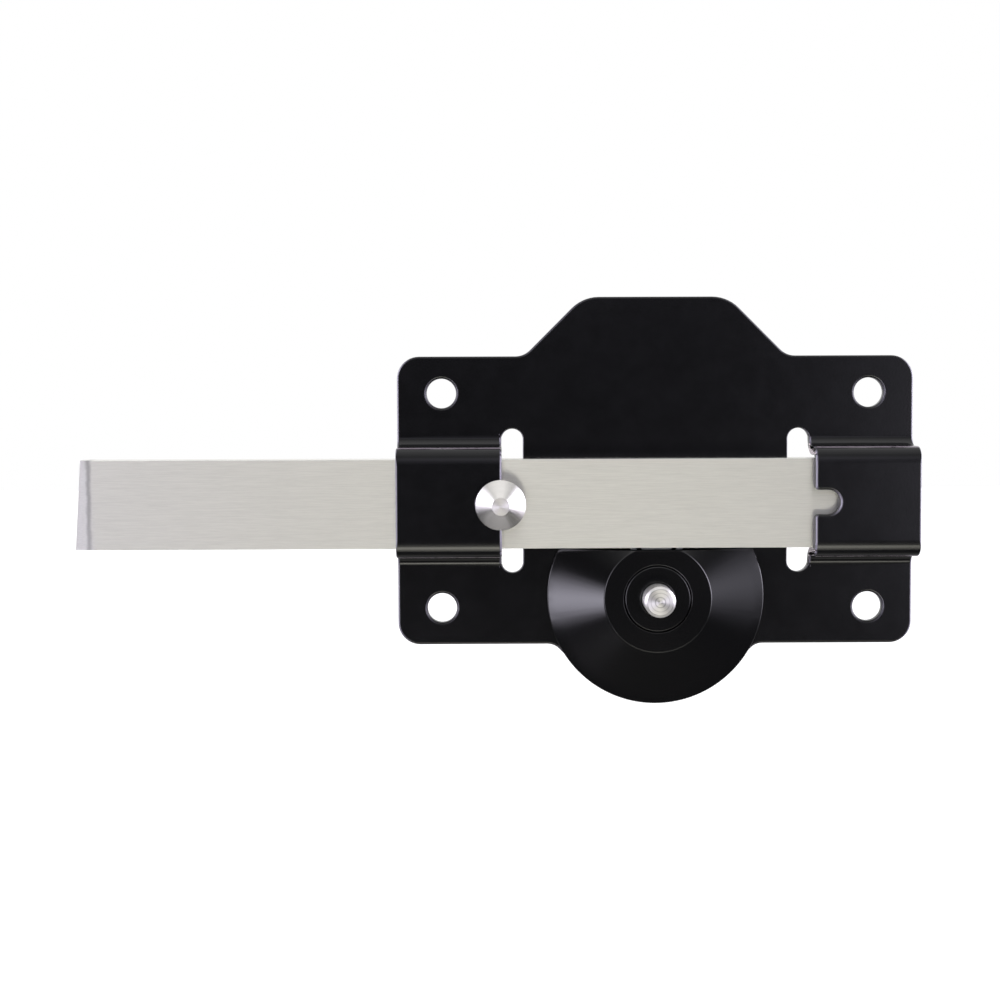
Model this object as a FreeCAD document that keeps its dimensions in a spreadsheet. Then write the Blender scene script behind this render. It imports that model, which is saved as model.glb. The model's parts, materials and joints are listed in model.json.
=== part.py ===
import FreeCAD, Part
import math
import os
import re
import Sketcher

# A throw lock for a gate: a pressed steel plate carries a long stainless bar, which slides through two
# bridges and is driven by a key cylinder through a pinion and a rack in the bar's lower edge.
# Millimetres. X runs along the bar, Z is up, and the gate stands on the +Y side of the plate.
# The origin is on the plate's rear face, at the middle of its four fixing holes.

SIZES = {
    # Base plate, one pressed sheet
    "plate_thickness": 3,
    "plate_width": 175,
    "plate_height": 98,
    "plate_corner_radius": 7.5,
    "sheet_edge_round": 0.7,
    "hump_top_half": 24.5,
    "hump_rise": 20,
    "hump_radius": 13,
    "hump_root_radius": 7,
    "tail_base_half": 34.4,
    "tail_drop": 15,
    "tail_radius": 13,
    "tail_root_radius": 5.6,
    "fixing_inset_side": 15,
    "fixing_inset_end": 12.5,
    "fixing_radius": 5,
    # Bridges and the slits they are pressed out of
    "bridge_inner_edge": 52.2,
    "slot_width": 7.3,
    "slot_height": 49,
    "fold_radius": 3.5,
    "bend_inner_radius": 0.9,
    "notch_width": 8.2,
    "notch_depth": 8.4,
    "notch_mouth_round": 1.2,
    # Bolt bar and its play in the bridges
    "bar_length": 270.7,
    "bar_width": 30,
    "bar_thickness": 8,
    "bar_reach": 107.5,
    "bar_gap_rear": 0.15,
    "bar_gap_front": 0.35,
    "bar_gap_below": 0.1,
    "bar_gap_above": 0.9,
    "bar_edge_round": 0.35,
    "nose_slant": 2,
    "nose_bevel_foot": 7.4,
    "nose_bevel_head": 6.6,
    "nose_bevel_depth": 1.6,
    "bar_front_skin": 3,
    "rack_thickness": 2.4,
    # Rack and pinion
    "gear_module": 1.25,
    "pinion_teeth": 28,
    "pressure_angle": 20,
    "addendum_share": 0.8,
    "root_clearance_share": 0.2,
    "profile_shift_share": 0.5,
    "backlash": 0.15,
    "rack_spare_teeth": 3,
    "pinion_thickness": 2,
    "pinion_side_gap": 0.2,
    "rebate_spare_depth": 0.25,
    "rebate_end_share": 0.4,
    # Knob
    "knob_inset": 0.4,
    "knob_stem_radius": 3,
    "knob_rise": 0.6,
    "knob_head_radius": 8.4,
    "knob_rim": 1.2,
    "knob_height": 7.9,
    "knob_flat_radius": 2.95,
    "knob_spigot_radius": 2.5,
    "knob_spigot_length": 6,
    "knob_hole_gap": 0.1,
    # Lock cover, the black cone
    "cover_radius": 36.75,
    "cover_rim": 1.5,
    "cover_height": 9,
    "boss_radius": 18.25,
    "cover_bar_gap": 0.8,
    "cover_edge_chamfer": 0.35,
    "chamber_gap": 1.1,
    "pinion_roof_gap": 0.1,
    "cover_screw_inset": 11.75,
    "cover_screw_radius": 2,
    "cover_screw_head_radius": 3.6,
    "cover_screw_reach": 3.3,
    "cover_screw_end_gap": 0.3,
    "cross_arm_share": 0.55,
    "cross_half_share": 0.13,
    "cross_depth_share": 0.3,
    "screw_hole_gap": 0.1,
    "screw_sink": 0.1,
    # Bush and release button
    "bush_radius": 11.05,
    "bush_gap": 0.15,
    "bush_flange_radius": 12.6,
    "bush_flange_thickness": 0.8,
    "bush_chamfer": 0.35,
    "bush_bore_chamfer": 0.6,
    "seat_gap": 0.05,
    "button_radius": 5.2,
    "button_proud": 7.5,
    "button_chamfer": 0.9,
    "button_travel": 2.5,
    "shank_radius": 4,
    "shank_flat_half": 3.3,
    "shank_overhang": 1.5,
    "clip_thickness": 0.7,
    "clip_radius": 6.2,
    "clip_groove_radius": 3.4,
    "clip_mouth_half": 2,
    "clip_gap": 0.03,
    # Return spring
    "spring_wire_radius": 0.4,
    "spring_radius": 5.2,
    "spring_turns": 4,
    # Tailpiece
    "tail_width": 5,
    "tail_thickness": 1.5,
    "tail_gap": 0.1,
    "tail_end_gap": 0.3,
    # Threaded barrel, and the nut that screws on its wider neck
    "barrel_radius": 14,
    "barrel_neck_step": 0.5,
    "barrel_neck_overrun": 0.55,
    "barrel_relief_depth": 0.4,
    "barrel_relief_width": 1.2,
    "barrel_length": 50,
    "barrel_rise": 3.5,
    "barrel_flange_radius": 17,
    "barrel_flange_thickness": 1.5,
    "barrel_bore_radius": 12.5,
    "barrel_end_chamfer": 0.6,
    "spring_pocket_radius": 6.5,
    "spring_pocket_floor": 2,
    "tail_passage_radius": 4,
    "barrel_fit_gap": 0.1,
    "nut_across_flats": 36,
    "nut_thickness": 5,
    "nut_face_inset": 0.4,
    "nut_chamfer_angle": 30,
    "nut_seat_depth": 0.3,
    "nut_seat_gap": 0.4,
    # Key cylinder
    "cylinder_radius": 12.4,
    "cylinder_length": 27,
    "plug_radius": 6.25,
    "plug_gap": 0.05,
    "plug_head_radius": 7,
    "plug_head_thickness": 1,
    "plug_tail": 1.6,
    "plug_tail_slot": 2.2,
    "plug_end_gap": 1.92,
    "keyway_width": 1.6,
    "keyway_height": 7,
    "keyway_top": 2.6,
    "keyway_start": 4,
    "plug_clip_radius": 7.6,
    "plug_clip_thickness": 0.7,
    "plug_clip_mouth_half": 3,
    "plug_groove_radius": 5.7,
    # Pins above the plug, one stack of four pieces to each chamber
    "pin_pitch": 4,
    "pin_start": 4.5,
    "pin_radius": 1.35,
    "pin_hole_gap": 0.05,
    "key_pin_top_gap": 0.25,
    "key_pin_tip_share": 0.3,
    "driver_lift": 0.02,
    "driver_length": 3.9,
    "pin_spring_length": 3.8,
    "pin_spring_wall": 0.35,
    "pin_stack_gap": 0.1,
    "cap_length": 1.2,
    # Set screw that holds the cylinder in the barrel
    "set_screw_radius": 1.5,
    "set_screw_inset": 0.2,
    "set_screw_bite": 1.2,
    "set_screw_place": 9,
    "set_screw_socket_share": 0.5,
}

# How far each key pin hangs below the shear line, as the key's cuts leave it
KEY_PIN_LENGTHS = {1: 4.6, 2: 5.6, 3: 4.2, 4: 5.2, 5: 4.8}
# The screws of the cover stand at these angles round the drive axis, clear of the bar
COVER_SCREW_ANGLES = (10, 170, 270)

FRONT = "XZ_Plane"
SIDE = "YZ_Plane"
TOP = "XY_Plane"
CCW = 1
CW = -1
# How far a cut starts outside the face that it opens, and a tooth's gap outside the tips
PAST = "1"
PAST_TIPS = 0.4
# Edges are told apart within this distance, and called straight above this cosine
NEAR = 0.01
ALIGNED = 0.999

doc = FreeCAD.newDocument("throw_lock")
sheet = doc.addObject("Spreadsheet::Sheet", "Sizes")
for row, (alias, size) in enumerate(SIZES.items(), start=1):
    sheet.set(f"A{row}", alias)
    sheet.set(f"B{row}", str(size))
    sheet.setAlias(f"B{row}", alias)
doc.recompute()


def in_sheet_terms(text):
    """The same expression with every size written as a cell of the sheet."""
    return re.sub(r"[a-z]+(_[a-z]+)+", lambda word: f"Sizes.{word.group()}", str(text))


def number(text):
    """The present value of an expression of the sheet's sizes."""
    return float(sheet.evalExpression(in_sheet_terms(text)))


def bind(thing, property_path, text):
    thing.setExpression(property_path, in_sheet_terms(text))


# Places that several pieces share, as expressions of the sizes above
BAR_REAR = "(-plate_thickness - bar_gap_rear)"
BAR_FRONT = f"({BAR_REAR} - bar_thickness)"
BRIDGE_UNDER = f"({BAR_FRONT} - bar_gap_front)"
BRIDGE_FRONT = f"({BRIDGE_UNDER} - plate_thickness)"
CHANNEL_HALF = "((bar_width + bar_gap_below + bar_gap_above) / 2)"
BAR_LEVEL = "((bar_gap_below - bar_gap_above) / 2)"
BAR_FOOT = f"({BAR_LEVEL} - bar_width / 2)"
BAR_LEFT = "(-plate_width / 2 - bar_reach)"
KNOB_X = "(-bridge_inner_edge - knob_inset)"

RACK_PITCH = "(pi * gear_module)"
THROW = f"({RACK_PITCH} * pinion_teeth)"
ADDENDUM = "(gear_module * addendum_share)"
DEDENDUM = "(gear_module * (addendum_share + root_clearance_share))"
PITCH_RADIUS = "(gear_module * pinion_teeth / 2)"
SHIFT = "(gear_module * profile_shift_share)"
PINION_TIP = f"({PITCH_RADIUS} + {SHIFT} + {ADDENDUM})"
PINION_ROOT = f"({PITCH_RADIUS} + {SHIFT} - {DEDENDUM})"
DRIVE_Z = f"({BAR_FOOT} + {ADDENDUM} - {PITCH_RADIUS} - {SHIFT})"
RACK_FRONT = f"({BAR_FRONT} + bar_front_skin)"
RACK_REAR = f"({RACK_FRONT} + rack_thickness)"
REBATE_DEPTH = f"({ADDENDUM} + {DEDENDUM} + rebate_spare_depth)"
PINION_FRONT = f"({RACK_FRONT} + pinion_side_gap)"
PINION_REAR = f"({PINION_FRONT} + pinion_thickness)"

BOSS_FRONT = "(-plate_thickness - cover_height)"
CHAMBER_RADIUS = f"({PINION_TIP} + chamber_gap)"
ROOF_UNDER = f"({PINION_FRONT} - pinion_roof_gap)"
BUTTON_FRONT = f"({BOSS_FRONT} - button_proud)"
CLIP_REAR = f"({PINION_REAR} + clip_gap + clip_thickness)"
SHANK_END = f"({PINION_REAR} + shank_overhang)"
TAIL_TIP = f"({PINION_FRONT} - tail_thickness)"
TAIL_SLOT_END = f"({TAIL_TIP} - button_travel - tail_end_gap)"

SCREW_CIRCLE = "(cover_radius - cover_screw_inset)"

BARREL_Z = f"({DRIVE_Z} + barrel_rise)"
NECK_RADIUS = "(barrel_radius + barrel_neck_step)"
NUT_CORNER = "(nut_across_flats / sqrt(3))"
NUT_FACE = "(-nut_seat_depth + seat_gap)"
NUT_REAR = f"({NUT_FACE} + nut_thickness)"
NECK_END = f"({NUT_REAR} + barrel_neck_overrun)"
CYLINDER_REAR = "barrel_length"
CYLINDER_INNER = "(barrel_length - cylinder_length)"
PLUG_INNER = f"({CYLINDER_INNER} - plug_tail)"
TAIL_REAR = f"({PLUG_INNER} + plug_tail_slot - tail_gap)"
CHAMBER_FLOOR = f"({PLUG_INNER} - plug_end_gap)"
SHEAR = "(plug_radius + plug_gap)"
DRIVER_FOOT = f"({SHEAR} + driver_lift)"
SPRING_FOOT = f"({DRIVER_FOOT} + driver_length + pin_stack_gap)"
CAP_FOOT = f"({SPRING_FOOT} + pin_spring_length + pin_stack_gap)"


def new_body(name, x=0, y=0, z=0):
    body = doc.addObject("PartDesign::Body", name)
    body.Label = name
    for axis, place in (("x", x), ("y", y), ("z", z)):
        bind(body, f"Placement.Base.{axis}", place)
    return body


def sketch_on(body, role, depth=0):
    """A sketch on one of the body's origin planes, moved by depth along the plane's normal."""
    sketch = body.newObject("Sketcher::SketchObject", f"{body.Name}_sketch")
    plane = next(item for item in body.Origin.OriginFeatures if item.Role == role)
    sketch.AttachmentSupport = [(plane, "")]
    sketch.MapMode = "FlatFace"
    bind(sketch, "AttachmentOffset.Base.z", depth)
    return sketch


def constrain(sketch, kind, text, *where):
    index = sketch.addConstraint(Sketcher.Constraint(kind, *where, number(text)))
    sketch.setExpression(f"Constraints[{index}]", in_sheet_terms(text))


def hold_point(sketch, edge, end, x, y):
    constrain(sketch, "DistanceX", x, -1, 1, edge, end)
    constrain(sketch, "DistanceY", y, -1, 1, edge, end)


def arc_between(start, end, radius, turn):
    """The minor arc from start to end, which runs anticlockwise where turn is CCW."""
    chord = end - start
    height = math.sqrt(max(radius ** 2 - (chord.Length / 2) ** 2, 0))
    left = FreeCAD.Vector(-chord.y, chord.x, 0).normalize()
    centre = (start + end) / 2 + left * height * turn
    first, last = (start, end) if turn == CCW else (end, start)
    angles = [math.atan2(point.y - centre.y, point.x - centre.x) for point in (first, last)]
    circle = Part.Circle(centre, FreeCAD.Vector(0, 0, 1), radius)
    return Part.ArcOfCircle(circle, angles[0], angles[1])


def closed_outline(sketch, corners):
    """A closed outline. A corner is (x, y), or (x, y, radius, turn) where an arc leaves it."""
    points = [FreeCAD.Vector(number(corner[0]), number(corner[1]), 0) for corner in corners]
    edges = []
    for place, corner in enumerate(corners):
        start, end = points[place], points[(place + 1) % len(points)]
        if len(corner) == 2:
            edges.append((sketch.addGeometry(Part.LineSegment(start, end)), 1, 2))
            continue
        radius, turn = corner[2], corner[3]
        edge = sketch.addGeometry(arc_between(start, end, number(radius), turn))
        edges.append((edge, 1, 2) if turn == CCW else (edge, 2, 1))
    for place, (edge, _, end) in enumerate(edges):
        after, after_start, _ = edges[(place + 1) % len(edges)]
        sketch.addConstraint(Sketcher.Constraint("Coincident", edge, end, after, after_start))
    for (edge, start, _), corner in zip(edges, corners):
        hold_point(sketch, edge, start, corner[0], corner[1])
        if len(corner) == 4:
            constrain(sketch, "Radius", corner[2], edge)


def circle(sketch, x, y, radius):
    middle = FreeCAD.Vector(number(x), number(y), 0)
    edge = sketch.addGeometry(Part.Circle(middle, FreeCAD.Vector(0, 0, 1), number(radius)))
    hold_point(sketch, edge, 3, x, y)
    constrain(sketch, "Radius", radius, edge)


def rectangle(sketch, left, bottom, right, top):
    closed_outline(sketch, [(left, bottom), (right, bottom), (right, top), (left, top)])


def rounded_slot(sketch, x, half_width, half_height):
    """An upright slot with round ends, drawn as two straight sides and four quarter arcs."""
    left, right = f"({x} - {half_width})", f"({x} + {half_width})"
    side = f"({half_height} - {half_width})"
    closed_outline(sketch, [
        (right, f"-{side}"),
        (right, side, half_width, CCW),
        (x, half_height, half_width, CCW),
        (left, side),
        (left, f"-{side}", half_width, CCW),
        (x, f"-{half_height}", half_width, CCW),
    ])


def feature(body, kind, sketch=None, **settings):
    made = body.newObject(f"PartDesign::{kind}", f"{body.Name}_{kind.lower()}")
    if sketch is not None:
        made.Profile = sketch
    for setting, value in settings.items():
        setattr(made, setting, value)
    return made


def pad(body, sketch, length, reverse=False):
    """Material from the sketch along its plane's normal."""
    made = feature(body, "Pad", sketch, Reversed=reverse)
    bind(made, "Length", length)
    return made


def cut(body, sketch, length, reverse=False):
    """A pocket from the sketch against its plane's normal. It has to remove something."""
    doc.recompute()
    before = body.Shape.Volume
    made = feature(body, "Pocket", sketch, Reversed=reverse)
    bind(made, "Length", length)
    doc.recompute()
    if body.Shape.Volume >= before:
        raise RuntimeError(f"{made.Name} cuts nothing")
    return made


def turned(name, profile, x=0, y=0, z=0):
    """A piece turned round an axis along Y. The profile's corners are (y, radius)."""
    body = new_body(name, x, y, z)
    sketch = sketch_on(body, SIDE)
    closed_outline(sketch, profile)
    feature(body, "Revolution", sketch, ReferenceAxis=(sketch, ["H_Axis"]), Angle=360)
    return body


def upright_pin(name, profile, y, z=0):
    """A piece turned round a vertical axis. The profile's corners are (radius, z)."""
    body = new_body(name, 0, y, z)
    sketch = sketch_on(body, FRONT)
    closed_outline(sketch, profile)
    feature(body, "Revolution", sketch, ReferenceAxis=(sketch, ["V_Axis"]), Angle=360)
    return body


def edges_where(made, test):
    doc.recompute()
    return [f"Edge{place}" for place, edge in enumerate(made.Shape.Edges, start=1) if test(edge)]


def lies_along(edge, direction):
    if not isinstance(edge.Curve, Part.Line):
        return False
    return abs(edge.Curve.Direction.dot(FreeCAD.Vector(*direction))) > ALIGNED


def middle_of(edge):
    return edge.valueAt((edge.FirstParameter + edge.LastParameter) / 2)


def near(value, text):
    return abs(value - number(text)) < NEAR


def round_edges(body, base, radius, test):
    made = feature(body, "Fillet", Base=(base, edges_where(base, test)))
    bind(made, "Radius", radius)
    return made


def plate_outline():
    """Half widths and heights of the plate's corners, from the lower left round to the upper left."""
    side, foot, head = "plate_width / 2", "-plate_height / 2", "plate_height / 2"
    hump_base = "(hump_top_half + hump_rise)"
    tail_half = "(tail_base_half - tail_drop)"
    right = [
        (tail_half, f"{foot} - tail_drop"),
        ("tail_base_half", foot),
        (side, foot),
        (side, head),
        (hump_base, head),
        ("hump_top_half", f"{head} + hump_rise"),
    ]
    return right + [(f"-{x}", z) for x, z in reversed(right)]


def bridge_section():
    """The pressed channel in section, as (y, z). Its feet meet the plate where the folds end."""
    inner = CHANNEL_HALF
    outer = f"({inner} + plate_thickness)"
    back_radius = "(fold_radius + plate_thickness)"
    bend_radius = "(bend_inner_radius + plate_thickness)"
    foot = f"({outer} + fold_radius)"
    fold_level = f"(-{back_radius})"
    face = "(-plate_thickness)"
    crown = f"({inner} - bend_inner_radius)"
    shoulder = f"({BRIDGE_UNDER} + bend_inner_radius)"
    return [
        (0, foot, back_radius, CW),
        (fold_level, inner),
        (shoulder, inner, "bend_inner_radius", CCW),
        (BRIDGE_UNDER, crown),
        (BRIDGE_UNDER, f"-{crown}", "bend_inner_radius", CCW),
        (shoulder, f"-{inner}"),
        (fold_level, f"-{inner}", back_radius, CW),
        (0, f"-{foot}"),
        (face, f"-{foot}", "fold_radius", CCW),
        (fold_level, f"-{outer}"),
        (shoulder, f"-{outer}", bend_radius, CW),
        (BRIDGE_FRONT, f"-{crown}"),
        (BRIDGE_FRONT, crown, bend_radius, CW),
        (shoulder, outer),
        (fold_level, outer, "fold_radius", CCW),
        (face, foot),
    ]


def base_plate():
    """The pressed sheet: its outline, the two bridges, their slits and notches, and every hole."""
    body = new_body("base_plate")
    sketch = sketch_on(body, FRONT)
    closed_outline(sketch, plate_outline())
    blank = pad(body, sketch, "plate_thickness")

    corners = {
        "plate_corner_radius": ("plate_width / 2", "plate_height / 2"),
        "hump_radius": ("hump_top_half", "plate_height / 2 + hump_rise"),
        "hump_root_radius": ("hump_top_half + hump_rise", "plate_height / 2"),
        "tail_radius": ("tail_base_half - tail_drop", "-plate_height / 2 - tail_drop"),
        "tail_root_radius": ("tail_base_half", "-plate_height / 2"),
    }
    for radius, (x, z) in corners.items():
        both_ends = radius == "plate_corner_radius"

        def at_corner(edge):
            point = middle_of(edge)
            level = abs(point.z) if both_ends else point.z
            return lies_along(edge, (0, 1, 0)) and near(abs(point.x), x) and near(level, z)

        blank = round_edges(body, blank, radius, at_corner)

    fold_foot = f"({CHANNEL_HALF} + plate_thickness + fold_radius)"
    side = "plate_width / 2"
    windows = sketch_on(body, FRONT, "plate_thickness")
    slot_middle = "(bridge_inner_edge - slot_width / 2)"
    for sign in ("", "-"):
        rectangle(windows, f"{sign}{slot_middle}", f"-{fold_foot}", f"{sign}({side} + {PAST})", fold_foot)
    cut(body, windows, "plate_thickness")

    for sign, reverse in (("", False), ("-", True)):
        section = sketch_on(body, SIDE, f"{sign}bridge_inner_edge")
        closed_outline(section, bridge_section())
        pad(body, section, f"{side} - bridge_inner_edge", reverse)

    slots = sketch_on(body, FRONT, "plate_thickness")
    for sign in ("", "-"):
        rounded_slot(slots, f"({sign}{slot_middle})", "(slot_width / 2)", "(slot_height / 2)")
    cut(body, slots, "plate_thickness")

    notches = sketch_on(body, FRONT, f"-{BRIDGE_FRONT}")
    half = "(notch_width / 2)"
    for sign, turn in (("", CCW), ("-", CW)):
        mouth = f"{sign}(bridge_inner_edge - {PAST})"
        bend = f"{sign}(bridge_inner_edge + notch_depth - {half})"
        end = f"{sign}(bridge_inner_edge + notch_depth)"
        closed_outline(notches, [
            (mouth, f"-{half}"),
            (bend, f"-{half}", half, turn),
            (end, 0, half, turn),
            (bend, half),
            (mouth, half),
        ])
    shaped = cut(body, notches, "plate_thickness + bar_gap_front")

    def at_notch_mouth(edge):
        point = middle_of(edge)
        on_edge = near(abs(point.x), "bridge_inner_edge") and near(abs(point.z), half)
        return lies_along(edge, (0, 1, 0)) and on_edge

    shaped = round_edges(body, shaped, "notch_mouth_round", at_notch_mouth)
    round_edges(body, shaped, "sheet_edge_round", on_front_rim)

    holes = sketch_on(body, FRONT, "plate_thickness")
    hole_x = f"({side} - fixing_inset_side)"
    hole_z = "(plate_height / 2 - fixing_inset_end)"
    for x in (f"-{hole_x}", hole_x):
        for z in (f"-{hole_z}", hole_z):
            circle(holes, x, z, "fixing_radius")
    circle(holes, 0, BARREL_Z, f"{NECK_RADIUS} + barrel_fit_gap")
    for x, z in cover_screw_places():
        circle(holes, x, z, "cover_screw_radius + screw_hole_gap")
    cut(body, holes, "plate_thickness")

    seat = sketch_on(body, FRONT, "plate_thickness")
    circle(seat, 0, BARREL_Z, "barrel_flange_radius + barrel_fit_gap")
    cut(body, seat, "barrel_flange_thickness")
    nut_seat = sketch_on(body, FRONT, "nut_seat_depth")
    circle(nut_seat, 0, BARREL_Z, f"{NUT_CORNER} + nut_seat_gap")
    cut(body, nut_seat, f"nut_seat_depth + {PAST}")

    for x, z in cover_screw_places():
        countersink(body, x, z)


def on_front_rim(edge):
    """Whether the edge runs round the sheet's front, along its outline or over a bridge's outer end."""
    span = edge.LastParameter - edge.FirstParameter
    for share in (0.1, 0.5, 0.9):
        point = edge.valueAt(edge.FirstParameter + share * span)
        at_side = near(abs(point.x), "plate_width / 2")
        past_slots = abs(point.z) > number(f"slot_height / 2 + {PAST}")
        in_face = near(point.y, "-plate_thickness") and (at_side or past_slots)
        raised = point.y < number("-plate_thickness")
        outside = abs(point.z) > number(CHANNEL_HALF) + NEAR or point.y < number(BRIDGE_UNDER) - NEAR
        if not in_face and not (at_side and raised and outside):
            return False
    return True


def cover_screw_places():
    return [
        (f"{SCREW_CIRCLE} * cos({angle})", f"{DRIVE_Z} + {SCREW_CIRCLE} * sin({angle})")
        for angle in COVER_SCREW_ANGLES
    ]


def countersink(body, x, z):
    """A right-angled countersink in the plate's rear face, cut as a groove round the hole's axis."""
    mouth = "(cover_screw_head_radius + screw_sink + screw_hole_gap)"
    sketch = sketch_on(body, SIDE, x)
    closed_outline(sketch, [
        (0, z),
        (0, f"{z} + {mouth}"),
        (f"-{mouth}", z),
    ])
    axis = sketch.addGeometry(Part.LineSegment(
        FreeCAD.Vector(number(f"-{mouth}"), number(z), 0), FreeCAD.Vector(0, number(z), 0)), True)
    hold_point(sketch, axis, 1, f"-{mouth}", z)
    hold_point(sketch, axis, 2, 0, z)
    doc.recompute()
    before = body.Shape.Volume
    feature(body, "Groove", sketch, ReferenceAxis=(sketch, ["Axis0"]), Angle=360)
    doc.recompute()
    if body.Shape.Volume >= before:
        raise RuntimeError("a countersink cuts nothing")


def bolt_bar():
    """The flat stainless bar, with a nose ground by hand, the knob's hole, and the rack in its foot."""
    body = new_body("bolt_bar")
    right = f"({BAR_LEFT} + bar_length)"
    head = f"({BAR_LEVEL} + bar_width / 2)"
    sketch = sketch_on(body, FRONT, f"-{BAR_REAR}")
    closed_outline(sketch, [
        (BAR_LEFT, BAR_FOOT),
        (right, BAR_FOOT),
        (right, head),
        (f"({BAR_LEFT} + nose_slant)", head),
    ])
    pad(body, sketch, "bar_thickness")

    sections = [
        bevel_section(body, BAR_FOOT, "nose_bevel_foot"),
        bevel_section(body, head, "nose_bevel_head"),
    ]
    nose = feature(body, "SubtractiveLoft", sections[0], Sections=[sections[1]], Ruled=True)

    def long_front(edge):
        return lies_along(edge, (1, 0, 0)) and near(middle_of(edge).y, BAR_FRONT)

    round_edges(body, nose, "bar_edge_round", long_front)

    hole = sketch_on(body, FRONT, f"-{BAR_FRONT}")
    circle(hole, KNOB_X, BAR_LEVEL, "knob_spigot_radius + knob_hole_gap")
    cut(body, hole, "knob_spigot_length + knob_hole_gap")

    rack_left = f"(-{THROW} - rack_spare_teeth * {RACK_PITCH})"
    rack_right = f"(rack_spare_teeth * {RACK_PITCH})"
    margin = f"(rebate_end_share * {RACK_PITCH})"
    rebate = sketch_on(body, FRONT, f"-{RACK_REAR}")
    rectangle(
        rebate,
        f"{rack_left} - {margin}",
        f"{BAR_FOOT} - {PAST}",
        f"{rack_right} + {margin}",
        f"{BAR_FOOT} + {REBATE_DEPTH}",
    )
    cut(body, rebate, f"{BAR_REAR} - {RACK_REAR}")

    slope = "tan(pressure_angle)"
    mouth = f"({RACK_PITCH} / 4 + {ADDENDUM} * {slope})"
    root = f"({RACK_PITCH} / 4 - {DEDENDUM} * {slope})"
    flare = f"({mouth} + {PAST} * {slope})"
    top = f"({BAR_FOOT} + {ADDENDUM} + {DEDENDUM})"
    space = sketch_on(body, FRONT, f"-{RACK_FRONT}")
    closed_outline(space, [
        (f"{rack_left} - {flare}", f"{BAR_FOOT} - {PAST}"),
        (f"{rack_left} + {flare}", f"{BAR_FOOT} - {PAST}"),
        (f"{rack_left} + {root}", top),
        (f"{rack_left} - {root}", top),
    ])
    first = cut(body, space, "rack_thickness")
    rack = feature(body, "LinearPattern", Originals=[first])
    rack.Direction = (next(item for item in body.Origin.OriginFeatures if item.Role == "X_Axis"), [""])
    rack.Mode = "Spacing"
    bind(rack, "Occurrences", "pinion_teeth + 2 * rack_spare_teeth + 1")
    bind(rack, "Offset", RACK_PITCH)
    body.Tip = rack


def bevel_section(body, level, length):
    """The wedge that the nose's bevel takes off at one level, drawn a little past the bar's faces."""
    slope = f"(nose_bevel_depth / {length})"
    left = f"({BAR_LEFT} - {PAST})"
    sketch = sketch_on(body, TOP, level)
    closed_outline(sketch, [
        (f"{BAR_LEFT} + {length} + {PAST}", f"{BAR_FRONT} - {PAST} * {slope}"),
        (left, f"{BAR_FRONT} + nose_bevel_depth + {PAST} * {slope}"),
        (left, f"{BAR_FRONT} - {PAST} * {slope}"),
    ])
    return sketch


def bolt_knob():
    """The turned knob: a spigot in the bar, a stem, a rim, and a cone with a small flat."""
    under = f"({BRIDGE_FRONT} - knob_rise)"
    top = f"({under} - knob_height)"
    turned("bolt_knob", [
        (f"{BAR_FRONT} + knob_spigot_length", 0),
        (f"{BAR_FRONT} + knob_spigot_length", "knob_spigot_radius"),
        (BAR_FRONT, "knob_spigot_radius"),
        (BAR_FRONT, "knob_stem_radius"),
        (under, "knob_stem_radius"),
        (under, "knob_head_radius"),
        (f"{under} - knob_rim", "knob_head_radius"),
        (top, "knob_flat_radius"),
        (top, 0),
    ], KNOB_X, 0, BAR_LEVEL)


def lock_cover():
    """The cast cone over the pinion, cut off level below the bar, with a seat for the bush."""
    face = "(-plate_thickness)"
    rim = f"({face} - cover_rim)"
    seat = f"({ROOF_UNDER} - bush_flange_thickness - seat_gap)"
    bore = "(bush_radius + bush_gap)"
    body = turned("lock_cover", [
        (face, CHAMBER_RADIUS),
        (face, "cover_radius"),
        (f"{rim} + cover_edge_chamfer", "cover_radius"),
        (rim, "cover_radius - cover_edge_chamfer"),
        (f"{BOSS_FRONT} + cover_edge_chamfer", "boss_radius"),
        (BOSS_FRONT, "boss_radius - cover_edge_chamfer"),
        (BOSS_FRONT, f"{bore} + bush_chamfer"),
        (f"{BOSS_FRONT} + bush_chamfer", bore),
        (seat, bore),
        (seat, "bush_flange_radius + seat_gap"),
        (ROOF_UNDER, "bush_flange_radius + seat_gap"),
        (ROOF_UNDER, CHAMBER_RADIUS),
    ], 0, 0, DRIVE_Z)
    chord = f"({BAR_FOOT} - cover_bar_gap - {DRIVE_Z})"
    cap = sketch_on(body, FRONT, f"-{BOSS_FRONT}")
    beyond = f"(cover_radius + {PAST})"
    rectangle(cap, f"-{beyond}", chord, beyond, beyond)
    cut(body, cap, "cover_height")
    holes = sketch_on(body, FRONT, "plate_thickness")
    for angle in COVER_SCREW_ANGLES:
        x, z = f"{SCREW_CIRCLE} * cos({angle})", f"{SCREW_CIRCLE} * sin({angle})"
        circle(holes, x, z, "cover_screw_radius + seat_gap")
    cut(body, holes, "cover_screw_reach + cover_screw_end_gap", reverse=True)


def cover_bush():
    """The flush ring in the cone's boss, held by a flange behind the roof."""
    flange = f"({ROOF_UNDER} - bush_flange_thickness)"
    bore = "(button_radius + seat_gap)"
    turned("cover_bush", [
        (ROOF_UNDER, bore),
        (ROOF_UNDER, "bush_flange_radius"),
        (flange, "bush_flange_radius"),
        (flange, "bush_radius"),
        (f"{BOSS_FRONT} + bush_chamfer", "bush_radius"),
        (BOSS_FRONT, "bush_radius - bush_chamfer"),
        (BOSS_FRONT, f"{bore} + bush_bore_chamfer"),
        (f"{BOSS_FRONT} + bush_bore_chamfer", bore),
    ], 0, 0, DRIVE_Z)


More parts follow.
